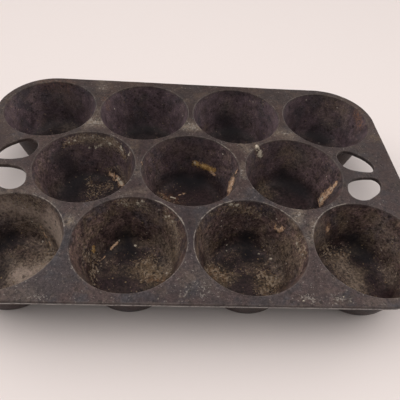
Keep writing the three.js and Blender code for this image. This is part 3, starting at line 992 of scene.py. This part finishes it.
    # the deck: brown iron with bluish patches and a dusty film; its colours run darker towards the back, a painted
    # shade for light falling off there
    deck_col = mix(mapped(big, 0.38, 0.62), mix(row, (0.0505, 0.0312, 0.0274), (0.0560, 0.0374, 0.0358)), mix(row, (0.0414, 0.0291, 0.0272), (0.0466, 0.0356, 0.0363)))
    deck_col = mix(math_("MULTIPLY", mapped(blotch, 0.48, 0.66), mixf(row, 0.25, 0.80)), deck_col, (0.040, 0.0360, 0.0405))
    deck_col = mix(mapped(film, 0.50, 0.66, 0.0, 0.60), deck_col, mix(row, (0.0757, 0.0528, 0.0415), (0.0820, 0.0605, 0.0512)))
    # inside the cups: a redder brown with dark patches and an olive film
    wall_dark = mix(row, (0.0725, 0.0500, 0.0565), (0.062, 0.0395, 0.0370))
    wall_light = mix(row, (0.1020, 0.0710, 0.0805), (0.107, 0.0675, 0.0590))
    cup_col = mix(mapped(mid, 0.35, 0.65), wall_dark, wall_light)
    cup_col = mix(mapped(blotch, 0.48, 0.62, 0.0, 0.7), cup_col, (0.052, 0.044, 0.050))
    cup_col = mix(math_("MULTIPLY", mapped(film, 0.48, 0.64), mapped(row, 0.0, 1.0, 0.15, 0.60, "LINEAR")), cup_col, (0.140, 0.100, 0.068))
    # dark lower walls and floors: partly soot, partly painted shade
    low_col = mix(mapped(mid, 0.35, 0.65), mix(row, (0.0170, 0.0120, 0.0134), (0.0195, 0.0112, 0.0115)), mix(row, (0.0350, 0.0242, 0.0252), (0.0425, 0.0252, 0.0245)))
    low_col = mix(math_("MULTIPLY", mapped(film, 0.46, 0.64), mapped(row, 0.4, 1.0, 0.05, 0.60, "LINEAR")), low_col, (0.110, 0.078, 0.055))
    cup_col = mix(height_up, low_col, cup_col)
    col = mix(inside, deck_col, cup_col)
    # tone at four scales, stronger inside the cups
    tone = math_("MULTIPLY", mapped(mid, 0.25, 0.75, 0.76, 1.24, "LINEAR"), mixf(row, mapped(small, 0.25, 0.75, 0.70, 1.30, "LINEAR"), mapped(small, 0.25, 0.75, 0.52, 1.48, "LINEAR")))
    tone = math_("MULTIPLY", tone, mapped(grain, 0.25, 0.75, 0.52, 1.48, "LINEAR"))
    mottle = tex(1.7, 2.0, 0.6, 610.0)
    tone = math_("MULTIPLY", tone, mixf(math_("MULTIPLY", inside, mapped(row, 0.05, 0.55, 0.25, 1.0)), 1.0, mapped(mottle, 0.36, 0.66, 0.55, 1.55, "LINEAR")))
    col = times(col, tone)
    # olive film, rust bloom, dust, plum-coloured bare patches, soot that is partly painted shade
    patchy = math_("ADD", math_("MULTIPLY", mottle, 0.55), math_("MULTIPLY", small, 0.45))
    yf = math_("MULTIPLY", yellow, mapped(patchy, 0.42, 0.60, 0.10, 0.75))
    col = mix(yf, col, mix(mapped(grain, 0.40, 0.60), (0.105, 0.072, 0.042), (0.190, 0.135, 0.078)))
    rf = math_("MULTIPLY", rust, mapped(rough_edge, 0.45, 0.58))
    col = mix(rf, col, (0.20, 0.092, 0.046))
    heavy = mapped(dust, 0.70, 1.10)
    df = math_("ADD", math_("MULTIPLY", rough_edge, 0.6), math_("MULTIPLY", mottle, 0.4))
    df = math_("MULTIPLY", dust, mixf(heavy, mapped(df, 0.42, 0.58, 0.22, 0.95), mapped(df, 0.42, 0.58, 0.50, 1.0)))
    dust_in = mix(heavy, (0.215, 0.161, 0.130), (0.365, 0.280, 0.234))
    col = mix(df, col, mix(inside, (0.180, 0.140, 0.108), dust_in))
    pl = math_("MULTIPLY", plum, mapped(mid, 0.25, 0.60, 0.55, 0.95))
    col = mix(pl, col, times(mix(mapped(mottle, 0.4, 0.6), (0.0165, 0.0088, 0.0102), (0.0330, 0.0178, 0.0192)), 1.0))
    # soot low at the back of each cup's floor: partly real soot, partly painted shade
    sf = math_("MULTIPLY", soot_and_shade, mapped(mid, 0.25, 0.60, 0.60, 0.92))
    col = mix(sf, col, (0.0085, 0.0080, 0.0105))
    # crumbs and grit: sparse everywhere, dense where baking left them
    in_front = math_("MULTIPLY", inside, math_("MULTIPLY", row, row))
    laid = math_("ADD", math_("MULTIPLY", math_("MAXIMUM", speck, math_("MULTIPLY", dust, 0.55)), 0.175), math_("MULTIPLY", in_front, 0.036))
    laid = math_("SUBTRACT", laid, math_("MULTIPLY", math_("MAXIMUM", pl, sf), 0.13))
    crumb = mapped(math_("ADD", tex(1.25, 3.0, 0.6, 705.0), math_("ADD", laid, math_("MULTIPLY", math_("SUBTRACT", mid, 0.5), 0.25))), 0.645, 0.695)
    crumb_col = mix(mapped(tex(2.2, 1.0, 0.5, 810.0), 0.42, 0.58), (0.155, 0.100, 0.062), (0.37, 0.285, 0.210))
    crumb_col = mix(math_("MULTIPLY", dust, 0.7), crumb_col, (0.300, 0.250, 0.205))
    crumb_col = mix(inside, (0.27, 0.240, 0.215), crumb_col)
    col = mix(math_("MULTIPLY", crumb, 0.60), col, crumb_col)
    thick = math_("ADD", math_("MULTIPLY", speck, 0.30), math_("MULTIPLY", in_front, 0.06))
    thick = math_("ADD", math_("MULTIPLY", thick, mapped(mid, 0.36, 0.60, 0.25, 1.4)), 0.008)
    thick = math_("MULTIPLY", thick, math_("SUBTRACT", 1.0, math_("MULTIPLY", math_("MAXIMUM", pl, sf), 0.75)))
    g1, c1 = grains(1.35, 12.0, thick)
    g2, c2 = grains(0.80, 57.0, math_("MULTIPLY", thick, 1.5))
    tan_a = mix(mapped(c1, 0.1, 0.7), (0.27, 0.190, 0.115), (0.145, 0.092, 0.052))
    tan_a = mix(mapped(c1, 0.80, 0.86), tan_a, (0.50, 0.440, 0.370))
    tan_b = mix(mapped(c2, 0.1, 0.8), (0.29, 0.215, 0.140), (0.150, 0.098, 0.056))
    grit = (0.165, 0.140, 0.122)
    col = mix(math_("MULTIPLY", g1, 0.75), col, mix(inside, grit, tan_a))
    col = mix(math_("MULTIPLY", g2, 0.70), col, mix(inside, grit, tan_b))
    # casting pits
    pits, _ = grains(2.6, 203.0, 0.16, 0.25)
    col = mix(math_("MULTIPLY", pits, 0.55), col, (0.016, 0.012, 0.011))
    # worn arris; lips rubbed bright, partly a painted highlight; a painted highlight along the rim's foot
    worn = math_("MULTIPLY", edge, mapped(math_("ADD", math_("MULTIPLY", mid, 0.6), math_("MULTIPLY", small, 0.4)), 0.36, 0.60, 0.10, 0.9))
    col = mix(math_("MULTIPLY", worn, 0.40), col, (0.150, 0.124, 0.108))
    # lighter lip arcs: partly wear, partly a painted highlight
    lip_rub_highlight_mask = math_("MULTIPLY", mapped(math_("ADD", lip_rub_and_highlight, math_("MULTIPLY", math_("SUBTRACT", small, 0.5), 0.9)), 0.62, 0.80), mapped(mid, 0.34, 0.56, 0.25, 0.8))
    col = mix(lip_rub_highlight_mask, col, (0.26, 0.222, 0.190))
    # a painted highlight along the rim's foot, a pale line standing in for light caught on the lower arris
    foot_highlight_mask = math_("MULTIPLY", line, mapped(math_("ADD", math_("MULTIPLY", mottle, 0.5), math_("MULTIPLY", small, 0.5)), 0.40, 0.54, 0.40, 1.0))
    col = mix(math_("MULTIPLY", foot_highlight_mask, 0.85), col, (0.40, 0.370, 0.345))
    # baked-on residue: broken flakes with ragged outlines
    ragged = math_("ADD", math_("MULTIPLY", math_("SUBTRACT", small, 0.5), 0.95), math_("MULTIPLY", math_("SUBTRACT", grain, 0.5), 0.45))
    gaps = mapped(tex(2.9, 3.0, 0.6, 520.0), 0.36, 0.44)

    def flakes(field, lo, hi):
        return math_("MULTIPLY", mapped(math_("ADD", field, ragged), lo, hi), gaps)

    cm = flakes(crust, 0.64, 0.72)
    col = mix(cm, col, mix(mapped(small, 0.36, 0.60), (0.66, 0.470, 0.345), (0.37, 0.220, 0.130)))
    om = flakes(ochre, 0.64, 0.74)
    col = mix(math_("MULTIPLY", om, 0.9), col, mix(mapped(small, 0.36, 0.60), (0.56, 0.355, 0.140), (0.27, 0.150, 0.050)))
    pm = flakes(pale, 0.62, 0.74)
    col = mix(math_("MULTIPLY", pm, 0.9), col, (0.54, 0.470, 0.375))
    nt.links.new(col, bsdf.inputs["Base Color"])

    solid = math_("MAXIMUM", cm, math_("MAXIMUM", pm, math_("MAXIMUM", om, math_("MAXIMUM", crumb, math_("MAXIMUM", g1, g2)))))
    rough = mixf(inside, 0.56, 0.54)
    rough = math_("ADD", rough, mapped(small, 0.3, 0.7, -0.10, 0.10, "LINEAR"))
    rough = math_("ADD", rough, mapped(film, 0.4, 0.7, -0.04, 0.12, "LINEAR"))
    rough = mixf(df, rough, 0.80)
    rough = mixf(worn, rough, 0.42)
    rough = mixf(math_("MAXIMUM", lip_rub_highlight_mask, foot_highlight_mask), rough, 0.32)
    rough = mixf(solid, rough, 0.88)
    rough = mixf(sf, rough, 0.85)
    rough = math_("MINIMUM", math_("MAXIMUM", rough, 0.25), 1.0)
    nt.links.new(rough, bsdf.inputs["Roughness"])
    bsdf.inputs["Metallic"].default_value = 0.0
    bsdf.inputs["Specular IOR Level"].default_value = 0.18

    height = math_("ADD", math_("MULTIPLY", small, 0.12), math_("MULTIPLY", grain, 0.06))
    height = math_("ADD", height, math_("MULTIPLY", mid, 0.12))
    height = math_("ADD", height, math_("MULTIPLY", g1, 0.22))
    height = math_("ADD", height, math_("MULTIPLY", g2, 0.12))
    height = math_("ADD", height, math_("MULTIPLY", crumb, 0.14))
    height = math_("ADD", height, math_("MULTIPLY", math_("MAXIMUM", cm, math_("MAXIMUM", om, pm)), 0.22))
    height = math_("SUBTRACT", height, math_("MULTIPLY", pits, 0.16))
    bump = nt.nodes.new("ShaderNodeBump")
    bump.inputs["Strength"].default_value = 1.0
    bump.inputs["Distance"].default_value = 0.001
    nt.links.new(height, bump.inputs["Height"])
    nt.links.new(bump.outputs["Normal"], bsdf.inputs["Normal"])
    return mat


IRON = build_iron()


def add_piece(bm, name, nodes):
    ob = to_object(bm, name)
    ob.data.materials.append(IRON)
    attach(ob, "root")
    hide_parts(*nodes)
    return ob


# ------------------------------------------------------------------ make the casting
deck_bm = to_bmesh(build_deck())


def cut(bm, co, no, inside_box):
    (x0, x1), (y0, y1) = inside_box
    faces = []
    for f in bm.faces:
        m = f.calc_center_median() * 1000.0
        if x0 < m.x < x1 and y0 < m.y < y1:
            faces.append(f)
    geom = list({v for f in faces for v in f.verts}) + list({e for f in faces for e in f.edges}) + faces
    bmesh.ops.bisect_plane(bm, geom=geom, dist=1e-7, plane_co=Vector(co) * MM, plane_no=no)


for sx in (1, -1):
    gx = sorted((sx * (GRIP_X - 3), sx * (GRIP_X + 3)))
    cut(deck_bm, (sx * GRIP_X, 0, 0), (1, 0, 0), (gx, (-6.0, 6.0)))
    rx = sorted((sx * (RIB_X - 3), sx * (RIB_X + 3)))
    cut(deck_bm, (sx * RIB_X, 0, 0), (1, 0, 0), (rx, (-6.0, 6.0)))
    bx = sorted((sx * (GRIP_X - 1), sx * (HALF_L + 5)))
    for sy in (1, -1):
        cut(deck_bm, (0, sy * GRIP_Y, 0), (0, 1, 0), (bx, sorted((sy * (GRIP_Y - 3), sy * (GRIP_Y + 3)))))


def region(m):
    side = "right" if m.x > 0 else "left"
    x, y = abs(m.x) * 1000, abs(m.y) * 1000
    if x > GRIP_X and y < GRIP_Y:
        return "grip_" + side
    if RIB_X < x <= GRIP_X and y < 6.0:
        return "rib_" + side
    return "deck"


def take(bm, name):
    part = bm.copy()
    drop = [f for f in part.faces if region(f.calc_center_median()) != name]
    bmesh.ops.delete(part, geom=drop, context="FACES")
    cap = part.faces.layers.int["cap"]
    open_edges = [e for e in part.edges if e.is_boundary]
    if open_edges:
        made = bmesh.ops.holes_fill(part, edges=open_edges, sides=0)["faces"]
        for f in made:
            f[cap] = 1
            f.smooth = False
        bmesh.ops.triangulate(part, faces=made)
    return part


for name in ("deck", "grip_left", "rib_left", "grip_right", "rib_right"):
    add_piece(take(deck_bm, name), "iron_" + name, [name])
deck_bm.free()
for name, centre in CUPS.items():
    add_piece(to_bmesh(build_cup(centre)), "iron_" + name, [name])

# ------------------------------------------------------------------ stage
def plain(name, colour, rough):
    m = bpy.data.materials.new(name)
    m.use_nodes = True
    b = m.node_tree.nodes["Principled BSDF"]
    b.inputs["Base Color"].default_value = (*colour, 1.0)
    b.inputs["Roughness"].default_value = rough
    b.inputs["Specular IOR Level"].default_value = 0.0
    return m


def sheet(name, x0, x1, y0, y1, z, mat):
    me = bpy.data.meshes.new(name)
    me.from_pydata([(x0, y0, z), (x1, y0, z), (x1, y1, z), (x0, y1, z)], [], [(0, 1, 2, 3)])
    me.materials.append(mat)
    ob = bpy.data.objects.new(name, me)
    bpy.context.scene.collection.objects.link(ob)
    return ob


sheet("floor", -40.0, 40.0, -40.0, 40.0, 0.0, plain("floor_paint", (0.775, 0.708, 0.692), 0.9))

# ------------------------------------------------------------------ light
scene = bpy.context.scene
scene.view_settings.view_transform = "Standard"
world = bpy.data.worlds.new("studio")
scene.world = world
world.use_nodes = True


def build_sky():
    """A soft room: brighter overhead and behind the pan, dimmer at the horizon, and darker where a person stands to look in."""
    nt = world.node_tree
    bg = nt.nodes["Background"]
    tc = nt.nodes.new("ShaderNodeTexCoord")
    nrm = nt.nodes.new("ShaderNodeVectorMath")
    nrm.operation = "NORMALIZE"
    nt.links.new(tc.outputs["Generated"], nrm.inputs[0])

    def lobe(direction, wide, tight, lo, hi):
        v = Vector(direction).normalized()
        dot = nt.nodes.new("ShaderNodeVectorMath")
        dot.operation = "DOT_PRODUCT"
        nt.links.new(nrm.outputs[0], dot.inputs[0])
        dot.inputs[1].default_value = v
        m = nt.nodes.new("ShaderNodeMapRange")
        m.interpolation_type = "SMOOTHSTEP"
        nt.links.new(dot.outputs["Value"], m.inputs["Value"])
        m.inputs["From Min"].default_value = math.cos(math.radians(wide))
        m.inputs["From Max"].default_value = math.cos(math.radians(tight))
        m.inputs["To Min"].default_value = lo
        m.inputs["To Max"].default_value = hi
        return m.outputs["Result"]

    def join(op, a, b):
        n = nt.nodes.new("ShaderNodeMath")
        n.operation = op
        nt.links.new(a, n.inputs[0])
        nt.links.new(b, n.inputs[1])
        return n.outputs[0]

    level = lobe((0, 0, 1), 100, 30, SKY_LOW, SKY_HIGH)
    for direction, wide, tight, gain in SKY_SIDES:
        level = join("ADD", level, lobe(direction, wide, tight, 0.0, gain))
    level = join("MULTIPLY", level, lobe((-0.03, -0.88, 0.45), 60, 22, 1.0, SKY_VIEWER))
    level = join("MULTIPLY", level, lobe((0.0, 0.86, 0.50), 48, 16, 1.0, SKY_BACK))
    bg.inputs["Color"].default_value = (1.0, 0.972, 0.950, 1.0)
    nt.links.new(level, bg.inputs["Strength"])


SKY_LOW, SKY_HIGH, SKY_VIEWER, SKY_BACK = 0.225, 0.44, 0.10, 0.34
SKY_SIDES = [((-1.0, 0.70, 0.46), 56, 18, 2.05), ((1.0, 0.62, 0.43), 56, 18, 1.85)]
build_sky()


def area(name, loc, target, size, power, colour=(1.0, 0.97, 0.94)):
    d = bpy.data.lights.new(name, "AREA")
    d.shape = "DISK"
    d.size = size
    d.energy = power
    d.color = colour
    ob = bpy.data.objects.new(name, d)
    bpy.context.scene.collection.objects.link(ob)
    ob.location = loc
    ob.rotation_euler = (Vector(target) - Vector(loc)).to_track_quat("-Z", "Y").to_euler()
    return ob


area("soft_top", (0.0, -0.30, 1.20), (0, 0, 0), 1.3, 7.2)

# ------------------------------------------------------------------ camera
cam_data = bpy.data.cameras.new("camera")
cam_data.sensor_fit = "HORIZONTAL"
cam_data.sensor_width = 36.0
cam_data.lens = 36.0 * 405.957 / 400.0
cam_data.clip_start = 0.01
cam_data.clip_end = 20.0
cam = bpy.data.objects.new("camera", cam_data)
scene.collection.objects.link(cam)
right = Vector((0.997665, -0.015539, 0.066499))
down = Vector((0.032071, -0.753092, -0.657134))
fwd = Vector((0.060291, 0.657732, -0.750835))
rot = Matrix((right, -down, -fwd)).transposed()
cam.matrix_world = Matrix.Translation(Vector((-9.395, -191.389, 186.89 + TOP)) * MM) @ rot.to_4x4()
scene.camera = cam
